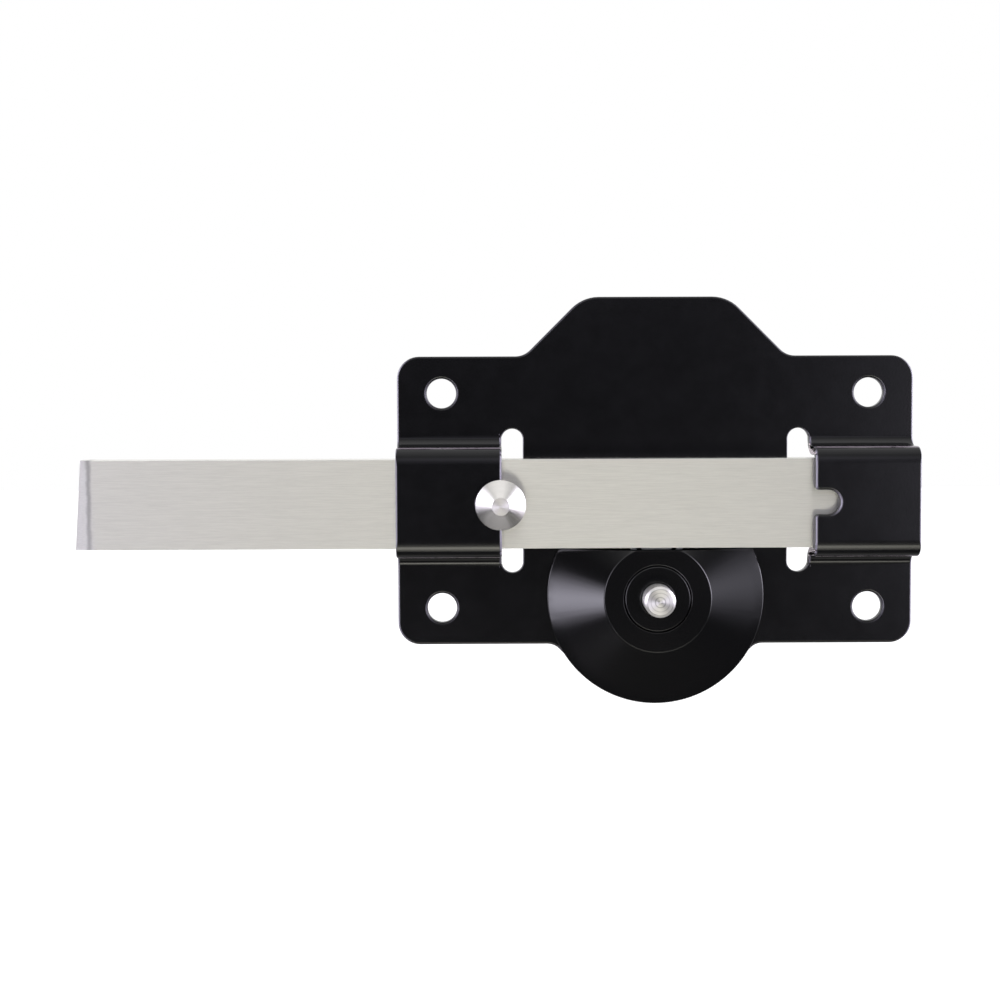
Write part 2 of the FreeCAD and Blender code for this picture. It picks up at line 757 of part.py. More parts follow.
def cover_screws():
    """Three countersunk screws, driven from behind the plate into the cone."""
    head, tip = "(-screw_sink)", "(-plate_thickness - cover_screw_reach)"
    neck = f"({head} - cover_screw_head_radius + cover_screw_radius)"
    places = zip(COVER_SCREW_ANGLES, cover_screw_places())
    for count, (_, (x, z)) in enumerate(places, start=1):
        body = turned(f"cover_screw_{count}", [
            (head, 0),
            (head, "cover_screw_head_radius"),
            (neck, "cover_screw_radius"),
            (tip, "cover_screw_radius"),
            (tip, 0),
        ], x, 0, z)
        cross = sketch_on(body, FRONT, f"-{head}")
        arm = "(cross_arm_share * cover_screw_head_radius)"
        half = "(cross_half_share * cover_screw_head_radius)"
        closed_outline(cross, [
            (arm, f"-{half}"), (arm, half), (half, half), (half, arm), (f"-{half}", arm), (f"-{half}", half),
            (f"-{arm}", half), (f"-{arm}", f"-{half}"), (f"-{half}", f"-{half}"), (f"-{half}", f"-{arm}"),
            (half, f"-{arm}"), (half, f"-{half}"),
        ])
        cut(body, cross, "cross_depth_share * cover_screw_head_radius", reverse=True)


def release_button():
    """The turned button, with a shank for the pinion and a slot that slides on the tailpiece."""
    groove_front = f"({CLIP_REAR} - clip_thickness - clip_gap)"
    groove_rear = f"({CLIP_REAR} + clip_gap)"
    body = turned("release_button", [
        (BUTTON_FRONT, 0),
        (BUTTON_FRONT, "button_radius - button_chamfer"),
        (f"{BUTTON_FRONT} + button_chamfer", "button_radius"),
        (PINION_FRONT, "button_radius"),
        (PINION_FRONT, "shank_radius"),
        (groove_front, "shank_radius"),
        (groove_front, "clip_groove_radius"),
        (groove_rear, "clip_groove_radius"),
        (groove_rear, "shank_radius"),
        (SHANK_END, "shank_radius"),
        (SHANK_END, 0),
    ], 0, 0, DRIVE_Z)
    flats = sketch_on(body, FRONT, f"-{PINION_FRONT}")
    far = f"(shank_radius + {PAST})"
    for sign in ("", "-"):
        rectangle(flats, f"{sign}shank_flat_half", f"-{far}", f"{sign}{far}", far)
    cut(body, flats, f"{SHANK_END} - {PINION_FRONT}")
    slot = sketch_on(body, FRONT, f"-{SHANK_END}")
    half_wide, half_high = "(tail_thickness / 2 + tail_gap)", "(tail_width / 2 + tail_gap)"
    rectangle(slot, f"-{half_wide}", f"-{half_high}", half_wide, half_high)
    cut(body, slot, f"{SHANK_END} - {TAIL_SLOT_END}", reverse=True)


def involute(angle):
    return math.tan(angle) - angle


def tooth_space(outer):
    """Corners of the gap between two teeth, as (radius, angle from the gap's middle) up one flank."""
    pitch_radius = number(PITCH_RADIUS)
    pressure = math.radians(number("pressure_angle"))
    base_radius = pitch_radius * math.cos(pressure)
    thickness = number(f"{RACK_PITCH} / 2 + 2 * {SHIFT} * tan(pressure_angle) - backlash")
    half_pitch = math.pi / number("pinion_teeth")
    root = number(PINION_ROOT)
    flank = []
    for share in (0, 0.5, 1):
        radius = root + (outer - root) * share
        roll = math.acos(base_radius / radius)
        half_tooth = thickness / (2 * pitch_radius) + involute(pressure) - involute(roll)
        flank.append((radius, half_pitch - half_tooth))
    return flank


def drive_pinion():
    """The involute pinion: a blank, one tooth space turned about its axis, and a double-D bore."""
    body = new_body("drive_pinion", 0, 0, DRIVE_Z)
    disc = sketch_on(body, FRONT, f"-{PINION_REAR}")
    circle(disc, 0, 0, PINION_TIP)
    pad(body, disc, "pinion_thickness")

    step = 2 * math.pi / number("pinion_teeth")
    middle = math.pi / 2 + step / 2
    flank = tooth_space(number(PINION_TIP) + PAST_TIPS)

    def point(radius, angle):
        return FreeCAD.Vector(radius * math.cos(angle), radius * math.sin(angle), 0)

    left = [point(radius, middle + half) for radius, half in flank]
    right = [point(radius, middle - half) for radius, half in flank]
    floor = point(flank[0][0], middle)
    gap = sketch_on(body, FRONT, f"-{PINION_FRONT}")
    gap.addGeometry(Part.Arc(right[2], right[1], right[0]))
    gap.addGeometry(Part.Arc(right[0], floor, left[0]))
    gap.addGeometry(Part.Arc(left[0], left[1], left[2]))
    gap.addGeometry(Part.LineSegment(left[2], right[2]))
    first = cut(body, gap, "pinion_thickness")
    teeth = feature(body, "PolarPattern", Originals=[first], Angle=360)
    teeth.Axis = (next(item for item in body.Origin.OriginFeatures if item.Role == "Y_Axis"), [""])
    bind(teeth, "Occurrences", "pinion_teeth")
    body.Tip = teeth

    bore = sketch_on(body, FRONT, f"-{PINION_FRONT}")
    radius, flat = "(shank_radius + seat_gap)", "(shank_flat_half + seat_gap)"
    height = f"sqrt({radius} ^ 2 - {flat} ^ 2)"
    closed_outline(bore, [
        (flat, f"-{height}"),
        (flat, height, radius, CCW),
        (f"-{flat}", height),
        (f"-{flat}", f"-{height}", radius, CCW),
    ])
    cut(body, bore, "pinion_thickness")


def open_ring(name, front, rear, inner, outer, mouth, z):
    """A retaining ring with a gap at its foot, so that it springs over its groove."""
    body = turned(name, [(front, inner), (front, outer), (rear, outer), (rear, inner)], 0, 0, z)
    gap = sketch_on(body, FRONT, f"-{front}")
    rectangle(gap, f"-{mouth}", f"-{outer} - {PAST}", mouth, 0)
    cut(body, gap, f"{rear} - {front}")


def pinion_clip():
    front = f"({CLIP_REAR} - clip_thickness)"
    inner = "(clip_groove_radius + seat_gap)"
    open_ring("pinion_clip", front, CLIP_REAR, inner, "clip_radius", "clip_mouth_half", DRIVE_Z)


def return_spring():
    """The coil spring between the retaining ring and the barrel's pocket, its wire drawn six-sided."""
    body = new_body("return_spring", 0, 0, DRIVE_Z)
    start = f"({CLIP_REAR} + seat_gap + spring_wire_radius)"
    end = "(spring_pocket_floor - seat_gap - spring_wire_radius)"
    wire = sketch_on(body, SIDE)
    closed_outline(wire, [
        (f"{start} + spring_wire_radius * cos({angle})", f"spring_radius + spring_wire_radius * sin({angle})")
        for angle in range(0, 360, 60)
    ])
    coil = feature(body, "AdditiveHelix", wire, ReferenceAxis=(wire, ["H_Axis"]))
    coil.Mode = "height-turns-angle"
    bind(coil, "Height", f"{end} - {start}")
    bind(coil, "Turns", "spring_turns")


def tailpiece():
    """The flat blade that carries the plug's turn to the button's shank."""
    body = new_body("tailpiece", 0, 0, DRIVE_Z)
    sketch = sketch_on(body, FRONT, f"-{TAIL_REAR}")
    half_wide, half_high = "(tail_thickness / 2)", "(tail_width / 2)"
    rectangle(sketch, f"-{half_wide}", f"-{half_high}", half_wide, half_high)
    pad(body, sketch, f"{TAIL_REAR} - {TAIL_TIP}")


def barrel():
    """The threaded tube through the gate, with a flange, a wider neck for the nut, and a thread relief."""
    flange_front = "(-plate_thickness)"
    flange_rear = "(-plate_thickness + barrel_flange_thickness)"
    relief = "(barrel_radius - barrel_relief_depth)"
    relief_end = f"({NECK_END} + barrel_relief_width)"
    end = "barrel_length"
    body = turned("barrel", [
        (flange_front, 0),
        (flange_front, "barrel_flange_radius"),
        (flange_rear, "barrel_flange_radius"),
        (flange_rear, NECK_RADIUS),
        (NECK_END, NECK_RADIUS),
        (NECK_END, relief),
        (relief_end, relief),
        (relief_end, "barrel_radius"),
        (f"{end} - barrel_end_chamfer", "barrel_radius"),
        (end, "barrel_radius - barrel_end_chamfer"),
        (end, "barrel_bore_radius"),
        (CHAMBER_FLOOR, "barrel_bore_radius"),
        (CHAMBER_FLOOR, 0),
    ], 0, 0, BARREL_Z)
    pocket = sketch_on(body, FRONT, "plate_thickness")
    circle(pocket, 0, "-barrel_rise", "spring_pocket_radius")
    cut(body, pocket, "plate_thickness + spring_pocket_floor")
    passage = sketch_on(body, FRONT, "-spring_pocket_floor")
    circle(passage, 0, "-barrel_rise", "tail_passage_radius")
    cut(body, passage, f"{CHAMBER_FLOOR} - spring_pocket_floor")
    tapping = sketch_on(body, TOP, f"-barrel_radius - {PAST}")
    circle(tapping, 0, f"{CYLINDER_INNER} + set_screw_place", "set_screw_radius + seat_gap")
    cut(body, tapping, f"{PAST} + barrel_radius - barrel_bore_radius + {PAST}", reverse=True)


def barrel_nut():
    """The thin hexagon nut that clamps the barrel's flange to the plate. It passes over the tube."""
    body = new_body("barrel_nut", 0, 0, BARREL_Z)
    sketch = sketch_on(body, FRONT, f"-{NUT_FACE}")
    closed_outline(sketch, [
        (f"{NUT_CORNER} * cos({angle})", f"{NUT_CORNER} * sin({angle})") for angle in range(0, 360, 60)
    ])
    pad(body, sketch, "nut_thickness", reverse=True)
    bore = sketch_on(body, FRONT, f"-{NUT_FACE}")
    circle(bore, 0, 0, f"{NECK_RADIUS} + seat_gap")
    cut(body, bore, "nut_thickness")

    face_radius, outside = "(nut_across_flats / 2 - nut_face_inset)", f"({NUT_CORNER} + {PAST})"
    chamfer = sketch_on(body, SIDE)
    closed_outline(chamfer, [
        (NUT_REAR, face_radius),
        (NUT_REAR, outside),
        (f"{NUT_REAR} - ({outside} - {face_radius}) * tan(nut_chamfer_angle)", outside),
    ])
    feature(body, "Groove", chamfer, ReferenceAxis=(chamfer, ["H_Axis"]), Angle=360)


def pin_places():
    """How far behind the cylinder's inner face each pin stands, with its number."""
    return [(count, f"({CYLINDER_INNER} + pin_start + {count - 1} * pin_pitch)") for count in KEY_PIN_LENGTHS]


def cylinder_body():
    """The round housing of the key cylinder, bored for the plug and drilled for the pins."""
    body = turned("cylinder_body", [
        (CYLINDER_INNER, 0),
        (CYLINDER_INNER, "cylinder_radius"),
        (CYLINDER_REAR, "cylinder_radius"),
        (CYLINDER_REAR, 0),
    ], 0, 0, BARREL_Z)
    bore = sketch_on(body, FRONT, f"-{CYLINDER_INNER}")
    circle(bore, 0, "-barrel_rise", SHEAR)
    cut(body, bore, "cylinder_length")
    mouth = sketch_on(body, FRONT, f"-{CYLINDER_REAR}")
    circle(mouth, 0, "-barrel_rise", "plug_head_radius + plug_gap")
    cut(body, mouth, "plug_head_thickness + plug_gap", reverse=True)
    chambers = sketch_on(body, TOP, f"cylinder_radius + {PAST}")
    for _, y in pin_places():
        circle(chambers, 0, y, "pin_radius + pin_hole_gap")
    cut(body, chambers, f"cylinder_radius + {PAST} + barrel_rise")
    grip = sketch_on(body, TOP, f"-cylinder_radius - {PAST}")
    circle(grip, 0, f"{CYLINDER_INNER} + set_screw_place", "set_screw_radius + seat_gap")
    cut(body, grip, f"{PAST} + set_screw_bite", reverse=True)


def cylinder_plug():
    """The turning plug: a headed rod with a keyway, a tail slot, a clip groove and the pins' holes."""
    groove_rear = f"({CYLINDER_INNER} - seat_gap)"
    groove_front = f"({groove_rear} - plug_clip_thickness - 2 * clip_gap)"
    head = f"({CYLINDER_REAR} - plug_head_thickness)"
    body = turned("cylinder_plug", [
        (PLUG_INNER, 0),
        (PLUG_INNER, "plug_radius"),
        (groove_front, "plug_radius"),
        (groove_front, "plug_groove_radius"),
        (groove_rear, "plug_groove_radius"),
        (groove_rear, "plug_radius"),
        (head, "plug_radius"),
        (head, "plug_head_radius"),
        (CYLINDER_REAR, "plug_head_radius"),
        (CYLINDER_REAR, 0),
    ], 0, 0, DRIVE_Z)
    tail = sketch_on(body, FRONT, f"-{PLUG_INNER}")
    half_wide, half_high = "(tail_thickness / 2 + tail_gap)", "(tail_width / 2 + tail_gap)"
    rectangle(tail, f"-{half_wide}", f"-{half_high}", half_wide, half_high)
    cut(body, tail, "plug_tail_slot")
    keyway = sketch_on(body, FRONT, f"-{CYLINDER_REAR}")
    rectangle(keyway, "-keyway_width / 2", "keyway_top - keyway_height", "keyway_width / 2", "keyway_top")
    cut(body, keyway, "cylinder_length - keyway_start", reverse=True)
    holes = sketch_on(body, TOP, f"plug_head_radius + {PAST}")
    for _, y in pin_places():
        circle(holes, 0, y, "pin_radius + pin_hole_gap")
    cut(body, holes, f"plug_head_radius + {PAST} - keyway_top + keyway_height / 2")


def plug_clip():
    rear = f"({CYLINDER_INNER} - seat_gap - clip_gap)"
    front = f"({rear} - plug_clip_thickness)"
    inner = "(plug_groove_radius + seat_gap)"
    open_ring("plug_clip", front, rear, inner, "plug_clip_radius", "plug_clip_mouth_half", DRIVE_Z)


def pin_stacks():
    """In each chamber: a key pin in the plug, a driver pin above the shear line, a spring and a cap."""
    key_pin_top = "(plug_radius - key_pin_top_gap)"
    for count, y in pin_places():
        reach = KEY_PIN_LENGTHS[count]
        tip = f"({key_pin_top} - {reach})"
        upright_pin(f"key_pin_{count}", [
            (0, tip),
            ("key_pin_tip_share * pin_radius", tip),
            ("pin_radius", f"{tip} + (1 - key_pin_tip_share) * pin_radius"),
            ("pin_radius", key_pin_top),
            (0, key_pin_top),
        ], y, DRIVE_Z)
        driver_top = f"({DRIVER_FOOT} + driver_length)"
        upright_pin(f"driver_pin_{count}", [
            (0, DRIVER_FOOT), ("pin_radius", DRIVER_FOOT), ("pin_radius", driver_top), (0, driver_top),
        ], y, DRIVE_Z)
        coil_top = f"({SPRING_FOOT} + pin_spring_length)"
        hollow = "(pin_radius - pin_spring_wall)"
        upright_pin(f"pin_spring_{count}", [
            (hollow, SPRING_FOOT), ("pin_radius", SPRING_FOOT), ("pin_radius", coil_top), (hollow, coil_top),
        ], y, DRIVE_Z)
        cap_top = f"({CAP_FOOT} + cap_length)"
        upright_pin(f"chamber_cap_{count}", [
            (0, CAP_FOOT), ("pin_radius", CAP_FOOT), ("pin_radius", cap_top), (0, cap_top),
        ], y, DRIVE_Z)


def cylinder_set_screw():
    """The headless screw through the barrel's wall, which stops the cylinder from sliding or turning."""
    outer = "(-barrel_radius + set_screw_inset)"
    inner = "(-cylinder_radius + set_screw_bite - seat_gap)"
    body = upright_pin("cylinder_set_screw", [
        (0, outer), ("set_screw_radius", outer), ("set_screw_radius", inner), (0, inner),
    ], f"{CYLINDER_INNER} + set_screw_place", BARREL_Z)
    socket = sketch_on(body, TOP, outer)
    corner = "(set_screw_socket_share * set_screw_radius)"
    closed_outline(socket, [
        (f"{corner} * cos({angle})", f"{corner} * sin({angle})") for angle in range(0, 360, 60)
    ])
    cut(body, socket, "set_screw_radius", reverse=True)


base_plate()
bolt_bar()
bolt_knob()
lock_cover()
cover_bush()
cover_screws()
release_button()
drive_pinion()
pinion_clip()
return_spring()
tailpiece()
barrel()
barrel_nut()
cylinder_body()
cylinder_plug()
plug_clip()
pin_stacks()
cylinder_set_screw()

doc.recompute()
for item in doc.Objects:
    if "Invalid" in item.State or "Error" in item.State:
        raise RuntimeError(f"{item.Name} failed to recompute")
pieces = [item for item in doc.Objects if item.TypeId == "PartDesign::Body"]
for piece in pieces:
    if piece.Shape.isNull() or not piece.Shape.isValid() or not piece.Shape.Solids:
        raise RuntimeError(f"{piece.Label} is not a sound solid")

os.makedirs("parts", exist_ok=True)
for piece in pieces:
    piece.Shape.exportStep(f"parts/{piece.Label}.step")
print(len(pieces), "pieces, one turn of the key throws the bolt by", round(number(THROW), 3), "mm")
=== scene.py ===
import json
import math

import bmesh
import bpy
from mathutils import Matrix, Vector


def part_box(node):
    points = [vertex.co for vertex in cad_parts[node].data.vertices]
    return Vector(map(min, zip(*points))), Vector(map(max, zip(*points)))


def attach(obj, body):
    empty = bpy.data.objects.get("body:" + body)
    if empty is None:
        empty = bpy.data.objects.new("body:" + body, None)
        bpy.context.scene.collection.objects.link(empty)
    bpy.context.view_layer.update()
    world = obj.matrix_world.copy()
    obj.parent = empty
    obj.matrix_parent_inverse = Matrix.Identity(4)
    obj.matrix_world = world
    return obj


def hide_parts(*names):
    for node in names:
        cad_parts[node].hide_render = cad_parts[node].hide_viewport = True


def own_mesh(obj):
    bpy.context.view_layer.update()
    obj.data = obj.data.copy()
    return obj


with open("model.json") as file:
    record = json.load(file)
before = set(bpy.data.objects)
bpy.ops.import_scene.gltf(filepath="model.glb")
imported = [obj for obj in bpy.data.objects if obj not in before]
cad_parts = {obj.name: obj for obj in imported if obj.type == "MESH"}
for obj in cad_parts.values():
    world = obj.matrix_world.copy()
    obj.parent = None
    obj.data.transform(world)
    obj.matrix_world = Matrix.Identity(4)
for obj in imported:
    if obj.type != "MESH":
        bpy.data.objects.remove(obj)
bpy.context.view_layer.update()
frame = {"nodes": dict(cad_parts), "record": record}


# The pressed plate. One sheet of steel with two bridges pressed out of it and four fixing holes, under a
# semi-gloss black powder coat, with soft bright lines painted on its edges as painted highlights.

BRIDGE_INNER = 0.0522
BRIDGE_END_ZONE = 0.0004
SHEET_FRONT = -0.0029
CHANNEL_REACH = 0.017
CHANNEL_FRONT = -0.0124
CROWN_LEVEL = 0.0125
CROWN_REACH = 0.006
CROWN_DEPTH = 0.003
CROWN_STEPS = 9
PLATE_EDGE_ROUND = 0.0009
MINOR_EDGE = 0.4
EDGE_STEPS = 3
SHARP = math.radians(35)
FLAT = math.radians(0.05)
MERGE = 2e-6
FLATS_WEIGHT = 90

COAT_COLORS = (0.0012, 0.0012, 0.0015, 1), (0.0044, 0.0044, 0.0055, 1)
COAT_ROUGHNESS = 0.14, 0.22
COAT_SHINE = 0.4
COAT_PATCHES = 160, 6, 0.7
COAT_GRAIN = 1900, 2
COAT_GRAIN_DEPTH = 0.00001
# Painted highlight: the pale colour laid on rounded edges that face sideways, and its weaker share on the holes.
PAINTED_EDGE_HIGHLIGHT = (0.26, 0.245, 0.3, 1)
EDGE_HIGHLIGHT_ON_HOLES = 0.25
OUTER_END = 0.0835
# Noise that breaks up the painted crest highlight and marks where the coat is worn bare.
WEAR_AND_HIGHLIGHT_NOISE = 420, 4, 0.7
WEAR_AND_HIGHLIGHT_FROM, WEAR_AND_HIGHLIGHT_TO = 0.25, 0.5
# Painted highlight: the pale colour of the line along the bridges' outer crests, and where it lies.
PAINTED_CREST_HIGHLIGHT = (0.2, 0.175, 0.195, 1)
CREST_HIGHLIGHT_FROM, CREST_HIGHLIGHT_TO = 0.01795, 0.0183
CREST_HIGHLIGHT_FRONT = -0.0108
BARE_STEEL = (0.58, 0.5, 0.51, 1)
BARE_FROM, BARE_TO = 0.0158, 0.0192
CUT_FACE_FROM, CUT_FACE_TO = 0.7, 0.95


def new_material(name):
    """A material with an empty tree but for its surface shader, and the shader itself."""
    made = bpy.data.materials.new(name)
    made.use_nodes = True
    return made, made.node_tree, made.node_tree.nodes["Principled BSDF"]


def node(tree, kind, inputs=None, **settings):
    """A node with its settings, and with the inputs named or numbered linked to a socket or set to a value."""
    made = tree.nodes.new(kind)
    for setting, value in settings.items():
        setattr(made, setting, value)
    for name, value in (inputs or {}).items():
        if isinstance(value, bpy.types.NodeSocket):
            tree.links.new(value, made.inputs[name])
        else:
            made.inputs[name].default_value = value
    return made


def place_of(tree, scale=(1, 1, 1)):
    """The point on the piece, in metres along the lock's own axes, stretched by scale."""
    where = node(tree, "ShaderNodeTexCoord").outputs["Object"]
    return node(tree, "ShaderNodeMapping", {"Vector": where, "Scale": scale}).outputs["Vector"]


def normal_of(tree):
    return node(tree, "ShaderNodeTexCoord").outputs["Normal"]


def noise(tree, place, scale, detail=4, roughness=0.6):
    inputs = {"Vector": place, "Scale": scale, "Detail": detail, "Roughness": roughness}
    return node(tree, "ShaderNodeTexNoise", inputs).outputs["Fac"]


def spread(tree, value, low, high):
    """The value, from 0 to 1, spread between low and high."""
    return node(tree, "ShaderNodeMapRange", {"Value": value, "To Min": low, "To Max": high}).outputs["Result"]


def eased(tree, value, start, end, low=0, high=1):
    """The value's way from start to end, eased and spread between low and high."""
    inputs = {"Value": value, "From Min": start, "From Max": end, "To Min": low, "To Max": high}
    return node(tree, "ShaderNodeMapRange", inputs, interpolation_type="SMOOTHSTEP").outputs["Result"]


def between(tree, value, low, high):
    """Two colours mixed by the value."""
    return node(tree, "ShaderNodeMix", {"A": low, "B": high, "Factor": value}, data_type="RGBA").outputs["Result"]


def bumped(tree, shader, height, depth):
    """The surface's height in metres is depth times height."""
    bump = node(tree, "ShaderNodeBump", {"Height": height, "Distance": depth})
    tree.links.new(bump.outputs["Normal"], shader.inputs["Normal"])


def calculated(tree, operation, first, second=None):
    inputs = {0: first} if second is None else {0: first, 1: second}
    return node(tree, "ShaderNodeMath", inputs, operation=operation).outputs["Value"]


def product(tree, first, *others):
    for other in others:
        first = calculated(tree, "MULTIPLY", first, other)
    return first


def axes_of(tree, vector, unsigned=""):
    """The vector's parts by axis, those named in unsigned without their sign."""
    parts = node(tree, "ShaderNodeSeparateXYZ", {"Vector": vector}).outputs
    return {axis: calculated(tree, "ABSOLUTE", parts[axis]) if axis in unsigned else parts[axis] for axis in "XYZ"}


def powder_coat():
    """Black, with painted highlights in a pale colour on the rounded edges and, broken up by noise, along the
    bridges' outermost lines, and bare at their slit ends.
    """
    made, tree, shader = new_material("black_powder_coat")
    place = place_of(tree)
    spot = axes_of(tree, place, "XZ")
    facing = axes_of(tree, normal_of(tree), "XYZ")
    patches = noise(tree, place, *COAT_PATCHES)
    # Noise mask shared by the painted crest highlight and the worn bare spots.
    wear_and_highlight = eased(tree, noise(tree, place, *WEAR_AND_HIGHLIGHT_NOISE), WEAR_AND_HIGHLIGHT_FROM, WEAR_AND_HIGHLIGHT_TO)
    raised = calculated(tree, "LESS_THAN", spot["Y"], SHEET_FRONT)
    color = between(tree, patches, *COAT_COLORS)

    # Painted highlight: edges whose normals lie between sideways and frontwards take a pale lilac colour, full on
    # the outline and bridges, weaker on the holes.
    edge_highlight = calculated(tree, "POWER", product(tree, facing["X"], facing["Y"], 2), 2)
    outer = calculated(tree, "MAXIMUM", calculated(tree, "GREATER_THAN", spot["X"], OUTER_END), raised)
    color = between(tree, product(tree, edge_highlight, spread(tree, outer, EDGE_HIGHLIGHT_ON_HOLES, 1)), color, PAINTED_EDGE_HIGHLIGHT)

    # Painted highlight: a pale line along the bridges' outer crests, in front, broken up by the noise.
    outermost = eased(tree, spot["Z"], CREST_HIGHLIGHT_FROM, CREST_HIGHLIGHT_TO)
    in_front = calculated(tree, "LESS_THAN", spot["Y"], CREST_HIGHLIGHT_FRONT)
    color = between(tree, product(tree, outermost, in_front, wear_and_highlight), color, PAINTED_CREST_HIGHLIGHT)

    cut = eased(tree, facing["X"], CUT_FACE_FROM, CUT_FACE_TO)
    near_slot = calculated(tree, "LESS_THAN", spot["X"], BRIDGE_INNER + BRIDGE_END_ZONE)
    over = calculated(tree, "GREATER_THAN", spot["Z"], BARE_FROM)
    under = calculated(tree, "LESS_THAN", spot["Z"], BARE_TO)
    color = between(tree, product(tree, cut, near_slot, raised, over, under, wear_and_highlight), color, BARE_STEEL)

    tree.links.new(color, shader.inputs["Base Color"])
    tree.links.new(spread(tree, patches, *COAT_ROUGHNESS), shader.inputs["Roughness"])
    shader.inputs["Specular IOR Level"].default_value = COAT_SHINE
    bumped(tree, shader, noise(tree, place, *COAT_GRAIN), COAT_GRAIN_DEPTH)
    return made


def placed(name, mesh):
    """An object at the origin for the mesh."""
    made = bpy.data.objects.new(name, mesh)
    bpy.context.collection.objects.link(made)
    return made


def piece_from(name, form):
    """The edited mesh as a piece of its own."""
    mesh = bpy.data.meshes.new(name)
    form.to_mesh(mesh)
    form.free()
    return placed(name, mesh)


def bare_copy(name, cad_name):
    """A copy of a CAD node's mesh, with its doubles merged and its flat faces whole."""
    form = bmesh.new()
    form.from_mesh(frame["nodes"][cad_name].data)
    bmesh.ops.remove_doubles(form, verts=form.verts, dist=MERGE)
    bmesh.ops.dissolve_limit(form, angle_limit=FLAT, verts=form.verts, edges=form.edges)
    return piece_from(name, form)


def box_of(cad_name):
    """The lowest and the highest corner of a CAD node's box."""
    return [Vector(corner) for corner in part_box(cad_name)]


def crown_bridges(piece):
    """Eases the bridges' fronts into their bends, as a pressed sheet's are, and weighs the edges for rounding."""
    form = bmesh.new()
    form.from_mesh(piece.data)
    for step in range(CROWN_STEPS + 1):
        level = CROWN_LEVEL + CROWN_REACH * math.sin(0.5 * math.pi * step / (CROWN_STEPS + 1))
        for side in (-1, 1):
            everything = [*form.verts, *form.edges, *form.faces]
            bmesh.ops.bisect_plane(form, geom=everything, plane_co=(0, 0, side * level), plane_no=(0, 0, 1))
    for corner in form.verts:
        reach = (abs(corner.co.z) - CROWN_LEVEL) / CROWN_REACH
        if 0 < reach < 1 and abs(corner.co.x) > BRIDGE_INNER - BRIDGE_END_ZONE:
            crowned = PLATE_FRONT + CROWN_DEPTH * (1 - math.sqrt(1 - reach ** 2))
            corner.co.y = max(corner.co.y, crowned)
    weights = form.edges.layers.float.new("bevel_weight_edge")
    for edge in form.edges:
        if len(edge.link_faces) == 2 and edge.calc_face_angle() > SHARP:
            spot = (edge.verts[0].co + edge.verts[1].co) / 2
            outside = abs(spot.z) > CHANNEL_REACH or spot.y < CHANNEL_FRONT
            raised = spot.y < SHEET_FRONT and abs(spot.x) > BRIDGE_INNER - BRIDGE_END_ZONE
            edge[weights] = 1 if raised and outside else MINOR_EDGE
    form.to_mesh(piece.data)
    form.free()


def keep_flats(piece):
    """Shades the piece smooth, with its flat faces still flat."""
    piece.data.shade_smooth()
    piece.modifiers.new("flats", "WEIGHTED_NORMAL").weight = FLATS_WEIGHT


def soften(piece, width, steps=EDGE_STEPS, weighted=False):
    """Rounds the sharp edges, so that they catch the light as real ones do."""
    bevel = piece.modifiers.new("edges", "BEVEL")
    bevel.width = width
    bevel.segments = steps
    bevel.limit_method = "WEIGHT" if weighted else "ANGLE"
    bevel.angle_limit = SHARP
    bevel.use_clamp_overlap = not weighted
    keep_flats(piece)


def finish(piece, material, body, slot_name, *replaced):
    """Gives a piece its material and body, and hides the CAD nodes that it stands for."""
    piece.data.materials.clear()
    piece.data.materials.append(material)
    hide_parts(*replaced)
    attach(piece, body)


PLATE_FRONT = box_of("base_plate")[0].y
plate = bare_copy("plate_coated", "base_plate")
crown_bridges(plate)
soften(plate, PLATE_EDGE_ROUND, weighted=True)
finish(plate, powder_coat(), "plate", "black_coat", "base_plate")


# The bolt bar. A flat bar of stainless steel, ground along its length, with a rack cut in its foot. Its nose is
# slanted and bevelled by hand, and its colour is darkened in an uneven narrow band near the bevel's line.

BAR_COLOR = (0.83, 0.82, 0.79)
BAR_SHADES = 0.86, 1.13
BAR_ROUGHNESS = 0.56
BAR_EDGE_ROUND = 0.0003
BAR_EDGE_STEPS = 2
EDGE_ROUGHNESS = 0.2
STREAKS = 3000, 4, 0.7
STREAK_STRETCH = (0.04, 1, 1)
STREAK_DEPTH = 0.000004
STREAK_GLOSS = 0.95
ACROSS = 0.25
NOSE_DARK_BANDS = ((-0.1902, 0.0014, 0.66),)
NOSE_BAND_WOBBLE = 0.0011
NOSE_BAND_WOBBLE_SCALE = 130


def shades(color, darker, lighter):
    """The colour made darker and lighter."""
    return [tuple(min(1, part * share) for part in color) + (1,) for share in (darker, lighter)]


def arrows(tree, operation, first, second=None):
    """Arithmetic with vectors. SCALE takes a number second, and LENGTH gives one."""
    inputs = {0: first}
    if second is not None:
        inputs["Scale" if operation == "SCALE" else 1] = second
    made = node(tree, "ShaderNodeVectorMath", inputs, operation=operation)
    return made.outputs["Value" if operation == "LENGTH" else "Vector"]


def marked(tree, tone, reach, cuts):
    """The tone, darkened in narrow bands at the given places. A cut is (place, half width, share)."""
    for place, half_width, share in cuts:
        apart = calculated(tree, "ABSOLUTE", calculated(tree, "SUBTRACT", reach, place))
        tone = arrows(tree, "SCALE", tone, eased(tree, apart, 0, half_width, share, 1))
    return tone


def drawn_out(tree, shader, along, amount):
    """Draws the gloss out across the tool's way, which is given along the piece's own axes."""
    turn = node(tree, "ShaderNodeVectorTransform", {"Vector": along}, vector_type="VECTOR",
                convert_from="OBJECT", convert_to="WORLD")
    tree.links.new(turn.outputs["Vector"], shader.inputs["Tangent"])
    shader.inputs["Anisotropic"].default_value = amount
    shader.inputs["Anisotropic Rotation"].default_value = ACROSS


